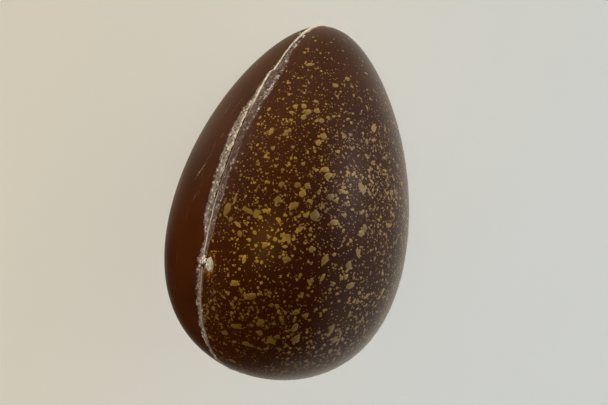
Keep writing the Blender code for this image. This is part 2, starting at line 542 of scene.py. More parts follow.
    def chip_reach(self, points: Array) -> Array:
        """Distance from the chip's middle, 1 on its uneven oval edge."""
        centre, _, across, along = self.chip_axes
        apart = points - centre
        oval = np.hypot(apart @ across / self.chip_across, apart @ along / self.chip_along)
        return oval * (1.0 + 0.16 * lattice_noise(points, 1.3, 34))


@dataclass(frozen=True)
class EggPart:
    """What each part of the egg is worked out from: the shell's form, how it lies, and its seam."""

    form: EggForm
    rest: RestingPlace
    seam: Seam


BARE = {"scrape": 0.0, "haze": 0.0, "chip": 0.0, "strip": 0.0}
# Painted shade: the cream plate's walls seen down the crack are toned near black
CRACK_SHADE_WALL = {"tone": -1.0, "lump": 0.0}
CLEAN_LUMP = {"tone": 1.0, "lump": 1.0}


@dataclass(frozen=True)
class MouldedHalf(EggPart):
    """One half shell's outer surface, fine enough at its rim for the scraped crumb."""

    side: Side
    columns: int = 1440
    rim_reach: float = 6.3 * MM
    rim_rings: int = 42
    rim_sink: float = 0.10 * MM
    crown_rings: int = 46
    crown_ease: float = 1.15
    face_depths: tuple = (3.0 * MM, 1.2 * MM, 0.5 * MM, 0.05 * MM)
    scrape_depth: float = 0.26 * MM
    crumb: float = 0.22 * MM
    edge_burr: float = 0.20 * MM
    band_edge: float = 0.13 * MM
    tooth_length: float = 1.7 * MM
    full_jag: float = 1.6 * MM
    smeared_roughness: float = 0.35
    strip_edge: tuple[float, float] = (1.15 * MM, 0.60 * MM)
    # Where the bloom fades: away from the seam, and from the broad end's stations to the narrow end's
    haze_edge: tuple[float, float] = (7.0 * MM, 1.5 * MM)
    haze_stations: tuple[float, float] = (-0.35, 0.25)
    # Where the chip's pocket and its stain end, as multiples of its oval
    pocket_edge: tuple[float, float] = (1.22, 0.88)
    stain_edge: tuple[float, float] = (2.1, 1.0)

    def scraped(self, around: Array, reach: float, points: Array) -> Array:
        """How far each point lies in the scraped band: its edge is jagged by noise and by slanting teeth.

        Args:
            around: angle round the outline.
            reach: distance from the rim's edge.
            points: the points themselves, for the jaggedness.

        Returns:
            The band's mask, from 0 outside to 1 inside.
        """
        width = self.seam.scrape_width(around, self.side)
        wander = lattice_noise(points, 3.2, 43)
        tooth = (np.abs(around) * self.form.half_length / self.tooth_length + 0.9 * wander) % 1.0
        jagged = MM * (0.32 * lattice_noise(points, 1.1, 41) + 0.26 * lattice_noise(points, 0.42, 42)
                       + 0.32 * wander + 0.55 * (tooth - 0.5))
        jagged = jagged * np.clip(width / self.full_jag, 0.12, 1.0)
        return smooth_step(self.band_edge, -self.band_edge, reach - width - jagged)

    def relief(self, points: Array, band: Array) -> Array:
        """Height above the shell: the band lies lower and is crumbly, with pits and standing flakes.

        Args:
            points: points on the shell.
            band: the band's mask.

        Returns:
            The height at each point.
        """
        grain = 0.55 * lattice_noise(points, 0.55, 51) + 0.45 * lattice_noise(points, 0.28, 52)
        rough = 1.0 if self.side is Side.PLAIN else self.smeared_roughness
        sunk = self.scrape_depth * (0.8 + 0.4 * lattice_noise(points, 1.4, 53))
        height = rough * self.edge_burr * band * (1.0 - band) - band * (sunk - self.crumb * rough * grain)
        if self.side is Side.GILDED:
            pocket = smooth_step(*self.pocket_edge, self.seam.chip_reach(points))
            height = height - pocket * self.seam.chip_depth
        return height

    def marks(self, points: Array, band: Any = 0.0, strip: Any = 0.0) -> dict[str, Any]:
        """Masks that the finish reads.

        Args:
            points: points on the shell.
            band: the scraped band's mask.
            strip: the pale strip's mask.

        Returns:
            The scraped band, the bloom beside it, the stain round the chip, and the pale strip.
        """
        near = smooth_step(*self.haze_edge, np.abs(points[:, 0]))
        if self.side is Side.PLAIN:
            return {"scrape": band, "haze": 0.3 * near, "chip": 0.0, "strip": strip}
        upper = smooth_step(*self.haze_stations, points[:, 1] / self.form.half_length)
        stain = smooth_step(*self.stain_edge, self.seam.chip_reach(points))
        return {"scrape": band, "haze": near * upper, "chip": stain, "strip": 0.0}

    def add_rim(self, patch: Patch, around: Array, offset: Array) -> list[Ring]:
        """The flat face's rim and the fine rings beside it.

        Args:
            patch: the mesh that takes them.
            around: angles round the outline.
            offset: where the rim starts.

        Returns:
            The rings, from the face outwards.
        """
        rings = []
        pale = self.seam.level(self.seam.pale_strips, around)
        for reach in np.linspace(0.0, self.rim_reach, self.rim_rings):
            points = self.form.beside(around, self.side.value * (offset + reach))
            band = self.scraped(around, reach, points)
            height = self.relief(points, band) - self.rim_sink * smooth_step(0.25 * MM, 0.0, reach)
            raised = self.form.lifted(points, height)
            if not rings:
                normals = self.form.normals(points)
                rings = [patch.ring(raised - depth * normals, **BARE) for depth in self.face_depths]
            jag = 0.30 * MM * lattice_noise(points, 0.8, 44)
            strip = pale * smooth_step(*self.strip_edge, jag + reach)
            rings.append(patch.ring(raised, **self.marks(points, band, strip)))
        return rings

    def build(self) -> bpy.types.Object:
        """The half as rings from its flat face over the rim to the crown of its side.

        Returns:
            The half's object.
        """
        patch = Patch()
        around = even_angles(self.columns)
        offset = self.seam.rim_offset(around, self.side)
        rings = self.add_rim(patch, around, offset)
        start = np.arcsin((offset + self.rim_reach) / self.form.girth(np.cos(around)))
        columns = self.columns
        for share in np.arange(1, self.crown_rings) / self.crown_rings:
            columns = max(self.columns // 4, columns // 2)
            skip = self.columns // columns
            across = start[::skip] + share ** self.crown_ease * (math.pi / 2 - start[::skip])
            points = self.form.shell(around[::skip], self.side.value * across)
            rings.append(patch.ring(points, **self.marks(points)))
        patch.tube(rings)
        face = self.form.beside(around, self.side.value * offset)[:, 0].mean()
        crown = self.form.shell(np.zeros(1), np.full(1, self.side.value * math.pi / 2))
        patch.cap(rings[0], np.array([face, 0.0, 0.0]), reverse=True, **BARE)
        patch.cap(rings[-1], crown, **BARE)
        return patch.build(f"{self.side.name.lower()}_shell", self.rest, 60)


@dataclass(frozen=True)
class CreamSeam(EggPart):
    """The cream plate with its uneven bead, and the lump that fills the chip."""

    columns: int = 1440
    bead_steps: int = 15
    bead_drop: float = 0.22 * MM
    bead_grain: tuple[float, float] = (0.09 * MM, 0.06 * MM)
    # How much darker the bead's sides are made: painted shade where they dip into the crack
    bead_side_shade: float = 0.7
    side_depths: tuple = (0.08 * MM, 0.6 * MM, 1.6 * MM, 5.0 * MM)
    lump_rings: int = 16
    lump_columns: int = 48
    lump_root: float = 1.2 * MM
    lump_crown: float = 0.06 * MM

    def bead_ring(self, around: Array, share: float) -> Array:
        """One line of points along the bead, whose height falls off towards its sides by 1 - |share|^3.

        Args:
            around: angles round the outline.
            share: place across the bead, from -1 to 1.

        Returns:
            The points.
        """
        points = self.form.beside(around, self.seam.middle(around) + share * self.seam.half_width(around))
        crest = self.seam.read(self.seam.bead_heights, around)
        height = crest - (crest + self.bead_drop) * abs(share) ** 3
        fine, broad = self.bead_grain
        height = height + fine * lattice_noise(points, 0.7, 61) + broad * lattice_noise(points, 2, 62)
        return self.form.lifted(points, height)

    def add_plate(self, patch: Patch) -> None:
        """The plate: down one side from the middle of the egg, over the bead, and down the other side."""
        around = even_angles(self.columns)
        shares = np.linspace(-1.0, 1.0, self.bead_steps)
        beads = [self.bead_ring(around, share) for share in shares]
        clean = self.seam.level(self.seam.bead_tones, around)
        normals = self.form.normals(beads[len(beads) // 2])
        # The bead's sides are browner, painted shade where they dip into the crack, and the plate's walls
        # are painted near black as the crack's shade
        rings = [patch.ring(beads[0] - depth * normals, **CRACK_SHADE_WALL) for depth in reversed(self.side_depths)]
        rings += [patch.ring(bead, tone=clean - self.bead_side_shade * abs(share) ** 4, lump=0.0)
                  for bead, share in zip(beads, shares)]
        rings += [patch.ring(beads[-1] - depth * normals, **CRACK_SHADE_WALL) for depth in self.side_depths]
        patch.tube(rings)
        patch.cap(rings[0], np.array([beads[0][:, 0].mean(), 0.0, 0.0]), reverse=True, **CRACK_SHADE_WALL)
        patch.cap(rings[-1], np.array([beads[-1][:, 0].mean(), 0.0, 0.0]), **CRACK_SHADE_WALL)

    def add_lump(self, patch: Patch) -> None:
        """The pale lump in the chip: an oval cushion, sunk round its edge and domed in its middle."""
        centre, normal, across, along = self.seam.chip_axes
        angle = even_angles(self.lump_columns)[:, None]
        oval = np.cos(angle) * across * self.seam.chip_across + np.sin(angle) * along * self.seam.chip_along
        ragged = 1.05 + 0.20 * lattice_noise(centre + oval, 1.2, 66)[:, None]
        rings = []
        for share in 1.0 - np.arange(self.lump_rings) / self.lump_rings:
            points = self.form.wrap(centre + share * ragged * oval)
            uneven = lattice_noise(points, 0.8, 64) + 0.6 * lattice_noise(points, 0.4, 65)
            height = MM * (0.15 * uneven - 0.10 - 0.55 * share ** 4)
            rings.append(patch.ring(self.form.lifted(points, height), **CLEAN_LUMP))
        patch.tube(rings)
        patch.cap(rings[-1], centre - self.lump_crown * normal, **CLEAN_LUMP)
        patch.cap(rings[0], centre - self.lump_root * normal, reverse=True, **CLEAN_LUMP)

    def build(self) -> bpy.types.Object:
        """The plate and the lump as one piece."""
        patch = Patch()
        self.add_plate(patch)
        self.add_lump(patch)
        return patch.build("cream_bead", self.rest, 70)


# The gold spatter

# The largest splashes: pixel, length and width in millimetres, and lean from the egg's axis in degrees
SPLASHES = (
    (310.0, 64.0, 3.0, 1.8, 70), (347.5, 78.5, 2.2, 1.9, 30), (335.5, 85.0, 2.4, 1.7, 80),
    (295.5, 106.0, 1.9, 1.7, 20), (304.0, 106.0, 2.0, 1.9, 0), (317.0, 110.5, 2.3, 2.0, 40),
    (308.5, 111.5, 2.4, 1.8, 60), (303.5, 117.0, 2.2, 1.9, 10), (321.5, 120.5, 2.3, 1.7, 0),
    (271.0, 131.0, 2.9, 1.8, 5), (323.5, 136.0, 2.6, 2.2, 50), (318.5, 142.5, 2.3, 2.0, 20),
    (374.0, 128.0, 3.6, 2.4, 10), (367.0, 141.5, 2.4, 1.5, 0), (281.5, 184.5, 1.9, 1.8, 0),
    (297.5, 185.0, 2.2, 2.0, 0), (307.5, 186.0, 2.2, 2.0, 0), (302.5, 193.5, 2.9, 2.1, 15),
    (325.0, 169.5, 3.2, 1.9, 70), (328.5, 175.5, 3.0, 2.1, 55), (343.0, 191.5, 3.2, 1.4, 100),
    (331.0, 196.5, 2.8, 1.9, 60), (227.0, 209.0, 4.4, 2.9, 25), (230.5, 219.5, 2.2, 1.5, 30),
    (247.5, 210.5, 4.4, 1.7, 105), (256.5, 213.5, 3.3, 2.3, 0), (293.5, 205.5, 3.5, 2.3, 60),
    (315.0, 215.5, 3.8, 3.0, 10), (334.5, 222.5, 3.0, 2.2, 70), (285.5, 236.5, 3.7, 2.0, 80),
    (239.5, 234.0, 2.3, 1.9, 0), (237.5, 224.5, 3.1, 1.2, 120), (265.0, 245.0, 2.2, 1.8, 40),
    (365.0, 228.0, 2.8, 2.0, -20), (361.5, 233.5, 3.0, 2.2, 50), (286.5, 259.5, 3.0, 1.9, 90),
    (312.0, 249.5, 2.3, 2.1, 0), (325.0, 260.0, 4.6, 1.9, 25), (349.0, 266.0, 3.4, 2.2, 0),
    (244.0, 259.5, 3.0, 1.4, 10), (235.0, 283.5, 3.2, 1.9, 95), (249.6, 297.2, 3.9, 2.5, 86),
    (252.6, 296.0, 2.0, 2.6, 10), (294.5, 320.0, 2.4, 1.0, 0), (295.0, 328.0, 3.0, 2.4, 0),
    (296.5, 339.5, 3.2, 2.4, 10), (271.0, 341.5, 3.0, 2.5, 70), (259.5, 333.5, 2.4, 2.1, 0),
    (261.0, 322.0, 2.6, 1.8, 90), (224.5, 333.5, 3.0, 1.8, 90), (235.5, 327.0, 4.2, 1.8, 100),
    (246.5, 344.5, 3.6, 2.0, 95), (296.0, 312.5, 2.5, 1.9, 30), (331.5, 329.0, 3.2, 2.6, 0),
    (334.5, 340.5, 3.2, 2.3, 0), (350.5, 286.0, 3.2, 2.4, 60), (322.5, 278.0, 3.2, 1.2, 20),
    (333.0, 284.5, 2.0, 1.5, 60))


@dataclass(frozen=True)
class SpatterSize:
    """One size of gold fleck, in millimetres: how many, how large, and how finely each is drawn."""

    name: str
    count: int
    radius: float
    radius_spread: float
    radius_limits: tuple[float, float]
    corners: int
    unevenness: float
    stretch: float
    height: float
    ringed: bool
    merged: float


@dataclass(frozen=True)
class Flecks:
    """Where some flecks lie, their outlines, how far each stands off, and how light its gold is, painted
    shade and painted highlight included.
    """

    centres: Array
    offsets: Array
    heights: Array
    tones: Array


@dataclass(frozen=True)
class GoldSpatter(EggPart):
    """Gold blown over one half: thin closed flecks lying on the shell, from fine dots to merged splashes."""

    sink: float = 0.012 * MM
    root: float = 0.12 * MM
    rim_share: float = 0.90
    rim_deep: float = 0.15
    deep_from: float = 0.35 * MM
    deep_to: float = 0.95 * MM
    patchiness: float = 0.36
    bare_rim: float = 0.8 * MM
    chip_clear: float = 1.5
    draws: int = 40
    draw_limit: float = 2.4
    # How many radii of its outline a placed splash is across, and how much calmer that outline is
    radii_across: float = 2.2
    calm: float = 0.7
    seed: int = 900
    sizes: tuple = (
        SpatterSize("splashes", 60, 0.80, 0.20, (0.68, 1.3), 32, 0.22, 0.15, 0.035, True, 0.30),
        SpatterSize("flecks", 1880, 0.44, 0.24, (0.30, 0.75), 17, 0.14, 0.12, 0.032, True, 0.14),
        SpatterSize("specks", 6500, 0.245, 0.25, (0.16, 0.36), 9, 0.09, 0.11, 0.035, False, 0.05),
        SpatterSize("dots", 4000, 0.150, 0.22, (0.08, 0.20), 7, 0.08, 0.12, 0.030, False, 0.0),
    )
    # Station from the broad to the narrow end, then how thickly the gold lies there
    cover: tuple = ((-1.0, 0.40), (-0.8, 0.64), (-0.6, 0.80), (-0.4, 0.78), (-0.15, 0.88), (0.05, 0.98),
                    (0.25, 0.88), (0.42, 0.72), (0.58, 0.52), (0.74, 0.28), (0.86, 0.11), (1.0, 0.04))
    # Pixel, reach in millimetres, and how much thicker or thinner the gold lies there
    drifts: tuple = (
        (376.0, 150.0, 15, 0.75), (232.0, 221.0, 6, 0.30), (298.0, 205.0, 8, 0.45),
        (308.0, 285.0, 9, -0.55), (384.0, 200.0, 12, 0.40), (266.0, 165.0, 9, -0.40),
        (242.0, 264.0, 7, -0.60), (218.0, 335.0, 13, -0.15), (282.0, 312.0, 7, 0.50),
        (364.0, 312.0, 7, 0.40), (298.0, 60.0, 8, 0.60), (342.0, 270.0, 8, -0.30))
    # By station too: how wide the bare strip's edge is in millimetres, the flecks' sizes, and their tones
    # darkened towards the broad end as painted shade
    fades: tuple = ((-1.0, 0.3), (0.15, 0.6), (0.45, 6.0), (0.8, 10.0))
    growths: tuple = ((-0.9, 1.12), (-0.4, 1.06), (0.3, 0.97), (0.9, 0.80))
    broad_end_shade: tuple = ((-0.9, -0.44), (-0.4, 0.0))
    mean_tone: float = 0.5
    tone_spread: float = 0.22
    tone_drift: float = 0.30
    height_range: tuple[float, float] = (0.8, 1.3)
    # A merged neighbour's radius and distance as shares of its splash's radius, and of its own
    merged_radius: tuple[float, float] = (0.45, 0.95)
    merged_reach: tuple[float, float] = (0.75, 1.25)
    merged_own_reach: float = 0.55
    # Where a painted highlight of warm shimmer brightens the gold, how far round it and by how much
    shimmer_pixel: Pixel = (258.0, 246.0)
    shimmer_reach: float = 9 * MM
    shimmer_gain: float = 0.45

    def hill(self, points: Array, pixel: Pixel, reach: float) -> Array:
        """A hill of height 1 at a pixel's place that falls off over its reach."""
        return bump(np.linalg.norm(points - self.seam.view.on_shell(pixel), axis=-1), 0.0, reach)

    def by_station(self, table: tuple, points: Array) -> Array:
        """A table's value at each point, by its station."""
        return np.interp(points[:, 1] / self.form.half_length, *np.array(table).T)

    def density(self, points: Array) -> Array:
        """How thickly the gold lies: little near the narrow end and beside the upper seam, and in drifts.

        Args:
            points: points on the shell.

        Returns:
            A density, 1 about the egg's middle.
        """
        thick = self.by_station(self.cover, points)
        band = self.seam.scrape_width(np.arctan2(points[:, 2], points[:, 1]), Side.GILDED)
        fade = self.by_station(self.fades, points) * MM
        clear = smooth_step(0.0, 1.0, (points[:, 0] - band - self.bare_rim) / fade)
        patches = lattice_noise(points, 11, 71) + 0.8 * lattice_noise(points, 4.5, 72)
        for column, row, reach, gain in self.drifts:
            thick = thick * (1.0 + gain * self.hill(points, (column, row), reach * MM))
        away = self.seam.chip_reach(points) > self.chip_clear
        return thick * clear * np.clip(1.0 + self.patchiness * patches, 0.1, None) * away

    def scatter(self, rng: Rng, count: int) -> Array:
        """Points drawn on the gilded half, by area and density.

        Args:
            rng: the source of random draws.
            count: how many points.

        Returns:
            The points.
        """
        found = []
        while sum(map(len, found)) < count:
            height = rng.uniform(0.0, 1.0, self.draws * count)
            angle = rng.uniform(0.0, TURN, self.draws * count)
            flat = np.sqrt(1.0 - height ** 2)
            station = flat * np.cos(angle)
            points = self.form.from_sphere(np.stack([height, station, flat * np.sin(angle)], axis=-1))
            width = self.form.girth(station)
            # A small patch of the sphere grows by about this much on the egg
            growth = width * np.hypot(self.form.half_length * np.sqrt(1.0 - station ** 2), width * station)
            weight = self.density(points) * growth / growth.max()
            found.append(points[rng.uniform(0.0, self.draw_limit, len(points)) < weight])
        return np.concatenate(found)[:count]

    def leaned(self, flat: Array, lean: Array) -> Array:
        """Offsets in a plane turned by each outline's lean."""
        x, y = flat[..., 0], flat[..., 1]
        return np.stack([x * np.cos(lean) - y * np.sin(lean), x * np.sin(lean) + y * np.cos(lean)], axis=-1)

    def outlines(self, rng: Rng, radii: Array, size: SpatterSize) -> Array:
        """Uneven round outlines: the radius swells by waves, more for a finer outline, and is drawn out.

        Args:
            rng: the source of random draws.
            radii: each fleck's mean radius.
            size: the kind of fleck.

        Returns:
            Offsets in the fleck's plane, by fleck, corner and direction.
        """
        count = len(radii)
        angle = even_angles(size.corners)
        swell = np.zeros((count, size.corners))
        for wave in range(2, max(5, size.corners // 3 + 1)):
            strength = rng.normal(0.0, size.unevenness / wave ** 0.8, count)
            phase = rng.uniform(0.0, TURN, count)
            swell += strength[:, None] * np.cos(wave * angle + phase[:, None])
        radius = radii[:, None] * np.clip(1.0 + swell, 0.45, 1.7)
        stretch = np.exp(rng.normal(0.0, size.stretch, count))[:, None]
        lean = rng.uniform(0.0, math.pi, count)[:, None]
        drawn = np.stack([radius * np.cos(angle) * stretch, radius * np.sin(angle) / stretch], axis=-1)
        return self.leaned(drawn, lean)

    def merged(self, rng: Rng, centres: Array, radii: Array, share: float) -> tuple[Array, Array]:
        """Splashes that ran together: some get a smaller neighbour that overlaps them.

        Args:
            rng: the source of random draws.
            centres: places of the splashes.
            radii: their radii.
            share: how many of the result are such neighbours.

        Returns:
            All centres and all radii.
        """
        count = int(len(centres) * share)
        if count == 0:
            return centres, radii
        parent = rng.integers(0, len(centres) - count, count)
        near, size = centres[parent], radii[parent]
        small = size * rng.uniform(*self.merged_radius, count)
        turn = rng.normal(size=(count, 3))
        normals = self.form.normals(near)
        aside = unit(turn - np.sum(turn * normals, axis=-1, keepdims=True) * normals)
        reach = size * rng.uniform(*self.merged_reach, count) + self.merged_own_reach * small
        beside = self.form.wrap(near + reach[:, None] * aside)
        return np.concatenate([centres[:-count], beside]), np.concatenate([radii[:-count], small])

    def main_splashes(self, rng: Rng, size: SpatterSize) -> tuple[Array, Array]:
        """Centres and outlines of the splashes that are placed one by one, calmer than the scattered ones.
        """
        splashes = np.array(SPLASHES)
        centres = np.array([self.seam.view.on_shell(pixel) for pixel in splashes[:, :2]])
        calm = replace(size, stretch=0.0, unevenness=self.calm * size.unevenness)
        offsets = self.outlines(rng, np.ones(len(centres)), calm)
        drawn = splashes[:, None, 2:4] / self.radii_across * MM
        return centres, self.leaned(offsets * drawn, np.radians(90.0 - splashes[:, 4:]))

    def draw(self, rng: Rng, size: SpatterSize) -> Flecks:
        """Every fleck of one size: larger towards the broad end, and darker there as painted shade, with a
        painted highlight where the gold shimmers.

        Args:
            rng: the source of random draws.
            size: the kind of fleck.

        Returns:
            The flecks.
        """
        centres = self.scatter(rng, size.count)
        radii = size.radius * MM * np.exp(rng.normal(0.0, size.radius_spread, size.count))
        radii = np.clip(radii, size.radius_limits[0] * MM, size.radius_limits[1] * MM)
        radii = radii * self.by_station(self.growths, centres)
        centres, radii = self.merged(rng, centres, radii, size.merged)
        offsets = self.outlines(rng, radii, size)
        if size is self.sizes[0]:
            placed, drawn = self.main_splashes(rng, size)
            centres, offsets = np.concatenate([centres, placed]), np.concatenate([offsets, drawn])
        heights = size.height * MM * rng.uniform(*self.height_range, len(centres))
        # Painted shade: the tones fall towards the broad end
        tones = self.mean_tone + self.by_station(self.broad_end_shade, centres)
        tones = tones + self.tone_drift * lattice_noise(centres, 12, 73)
        tones = tones + rng.normal(0.0, self.tone_spread, len(centres))
        # Painted highlight: tones above 1 where the gold shimmers
        shimmer_highlight = self.shimmer_gain * self.hill(centres, self.shimmer_pixel, self.shimmer_reach)
        return Flecks(centres, offsets, heights, np.clip(tones, 0.0, 1.0) + shimmer_highlight)

    def add_flecks(self, patch: Patch, flecks: Flecks, ringed: bool) -> None:
        """Thin lenses: an outline sunk in the shell, a raised ring in the larger, a point above and below.

        Args:
            patch: the mesh that takes them.
            flecks: the flecks.
            ringed: whether they have the inner ring.
        """
        centres, offsets = flecks.centres, flecks.offsets
        count, corners = offsets.shape[:2]
        normals = self.form.normals(centres)
        east = unit(np.cross(ALONG, normals))
        north = np.cross(normals, east)
        deep = np.linalg.norm(offsets, axis=-1).mean(axis=-1)
        deep = np.clip((deep - self.deep_from) / (self.deep_to - self.deep_from), 0.0, 1.0)

        def ring(share: float, height: Array, depth: float) -> int:
            """The outline, shrunk by a share, at a height over the shell."""
            drawn = share * offsets
            flat = centres[:, None] + drawn[..., :1] * east[:, None] + drawn[..., 1:] * north[:, None]
            points = self.form.lifted(self.form.wrap(flat), height[:, None] * np.ones((1, corners)))
            return patch.add(points, tone=flecks.tones[:, None], deep=depth * deep[:, None])

        here = np.arange(count)[:, None] * corners + np.arange(corners)
        there = np.roll(here, -1, axis=1)
        peak = np.broadcast_to(np.arange(count)[:, None], here.shape)
        outer = crest = ring(1.0, np.full(count, -self.sink), 0.0)
        if ringed:
            crest = ring(self.rim_share, flecks.heights, self.rim_deep)
            patch.face(outer + here, outer + there, crest + there, crest + here)
        top = patch.add(centres + (flecks.heights * 1.1)[:, None] * normals, tone=flecks.tones, deep=deep)
        bottom = patch.add(centres - self.root * normals, tone=flecks.tones, deep=0.0)
        patch.face(crest + here, crest + there, top + peak)
        patch.face(outer + there, outer + here, bottom + peak)

    def build(self) -> list[bpy.types.Object]:
        """One piece for each size of fleck.

        Returns:
            The pieces.
        """
        pieces = []
        for number, size in enumerate(self.sizes):
            patch = Patch()
            self.add_flecks(patch, self.draw(np.random.default_rng(self.seed + number), size), size.ringed)
            pieces.append(patch.build(f"gold_{size.name}", self.rest, 35))
        return pieces


# Crumbs and scratches

@dataclass(frozen=True)
class SeamCrumbs(EggPart):
    """Loose crumbs of scraped chocolate and cream along the rims, and a little dust, as uneven grains."""

    count: int = 3800
    radius: float = 0.115
    radius_spread: float = 0.28
    tone_spread: float = 0.22
    dust: int = 70
    dust_radius: float = 0.085
    dust_tone: float = 0.9
    # How many points are drawn for each crumb, and out of how much a point's thickness is weighed
    draws: int = 8
    draw_limit: float = 2.6
    # How many crumbs lie on a band's edge, how near to it, and where the others lie across the band
    edge_share: float = 0.70
    edge_spread: float = 0.12
    band_range: tuple[float, float] = (0.05, 1.3)
    past_band: float = 0.15 * MM
    # Tones of the crumbs, the second on the gilded rim up to this many degrees
    tones: tuple[float, float] = (0.5, 0.85)
    paler_to: float = 70.0
    # Where crumbs are smallest towards the ends, by station, and how small
    small_from: tuple = ((0.90, 1.0), (0.97, 0.35))
    seed: int = 77
    # Angle in degrees, then how thickly the crumbs lie along the outer edge of each scraped band
    plain_edge: tuple = (
        (0, 0.3), (60, 0.3), (70, 0.8), (100, 0.6), (108, 2.2), (135, 1.9), (180, 1.2))
    gilded_edge: tuple = (
        (0, 0.3), (28, 1.0), (35, 2.6), (46, 3.4), (64, 3.0), (72, 1.2), (90, 0.5), (180, 0.2))
    # Heaps: pixel, number of crumbs, spread and radius in millimetres, and how pale they are; the second
    # heap, near black, is painted shade for a hole beside the chip
    heaps: tuple = ((203.4, 259.5, 110, 0.55, 0.18, 0.72), (202.3, 266.3, 34, 0.24, 0.17, -0.6),
                    (206.5, 253.6, 12, 0.35, 0.12, 0.35), (201.6, 249.5, 16, 0.35, 0.14, 0.8),
                    (300.5, 33.0, 20, 0.5, 0.16, 0.9))

    def edges(self, rng: Rng) -> tuple[Array, Array]:
        """Points along the jagged outer edges of the two scraped bands, in patches.

        Args:
            rng: the source of random draws.

        Returns:
            Points on the shell, and how pale the crumb at each is.
        """
        around = rng.uniform(0.0, TURN, self.draws * self.count)
        plain = rng.uniform(size=around.size) < 0.5
        width = np.where(plain, *(self.seam.scrape_width(around, side) for side in Side))
        edges = self.plain_edge, self.gilded_edge
        thick = np.where(plain, *(self.seam.level(edge, around) for edge in edges))
        share = np.where(rng.uniform(size=around.size) < self.edge_share,
                         rng.normal(1.0, self.edge_spread, around.size),
                         rng.uniform(*self.band_range, around.size))
        aside = self.seam.half_width(around) + share * (width + self.past_band)
        aside = np.where(plain, -1.0, 1.0) * aside
        points = self.form.beside(around, aside)
        patches = smooth_step(-0.2, 0.7, lattice_noise(points, 1.8, 81))
        kept = np.flatnonzero(rng.uniform(0.0, self.draw_limit, around.size) < thick * patches)[:self.count]
        pale = np.where(plain | (self.seam.folded(around) > self.paler_to), *self.tones)
        return points[kept], pale[kept]

    def places(self, rng: Rng) -> tuple[Array, Array, Array]:
        """Every crumb: along the scraped bands, in the heaps, and scattered as dust.

        Args:
            rng: the source of random draws.

        Returns:
            Points on the shell, mean radii, and how pale each is.
        """
        sets = [(*self.edges(rng), self.radius)]
        for column, row, count, spread, radius, tone in self.heaps:
            middle = self.seam.view.on_shell((column, row))
            heap = self.form.wrap(middle + rng.normal(0.0, spread * MM, (count, 3)))
            sets.append((heap, tone, radius))
        dust = self.form.from_sphere(unit(rng.normal(size=(self.dust, 3))))
        sets.append((dust, self.dust_tone, self.dust_radius))
        return (np.concatenate([points for points, _, _ in sets]),
                np.concatenate([np.full(len(points), radius * MM) for points, _, radius in sets]),
                np.concatenate([np.broadcast_to(tone, len(points)) for points, tone, _ in sets]))

    def build(self) -> bpy.types.Object:
        """All grains as one piece: octahedra with their corners pushed about, finest near the egg's ends.

        Returns:
            The crumbs' object.
        """
        rng = np.random.default_rng(self.seed)
        centres, radii, pale = self.places(rng)
        normals = self.form.normals(centres)
        count = len(centres)
        corners = np.stack([np.eye(3), -np.eye(3)], axis=1).reshape(6, 3)
        corners = corners * rng.uniform(0.6, 1.4, (count, 6, 3)) + rng.normal(0.0, 0.18, (count, 6, 3))
        turn = unit(rng.normal(size=(count, 3)))
        side = unit(np.cross(turn, normals))
        axes = np.stack([turn, side, np.cross(turn, side)], axis=1)
        radius = radii * np.exp(rng.normal(0.0, self.radius_spread, count))
        station = np.abs(centres[:, 1]) / self.form.half_length
        radius = radius * np.interp(station, *np.array(self.small_from).T)
        points = centres[:, None] + radius[:, None, None] * np.einsum("fck,fkx->fcx", corners, axes)
        points = points - (0.5 * radius * rng.uniform(0.0, 1.0, count))[:, None, None] * normals[:, None]
        patch = Patch()
        patch.add(points, tone=np.clip(rng.normal(pale, self.tone_spread), -1.0, 1.0)[:, None])
        # The sides go round through corners 0, 2, 1 and 3, up to corner 4 and down to corner 5
        grain = np.arange(count)[:, None] * 6
        here, there = grain + np.array([0, 2, 1, 3]), grain + np.array([2, 1, 3, 0])
        for first, second, point in ((here, there, 4), (there, here, 5)):
            patch.face(first, second, grain + np.full(4, point))
        return patch.build("seam_crumbs", self.rest, 25)


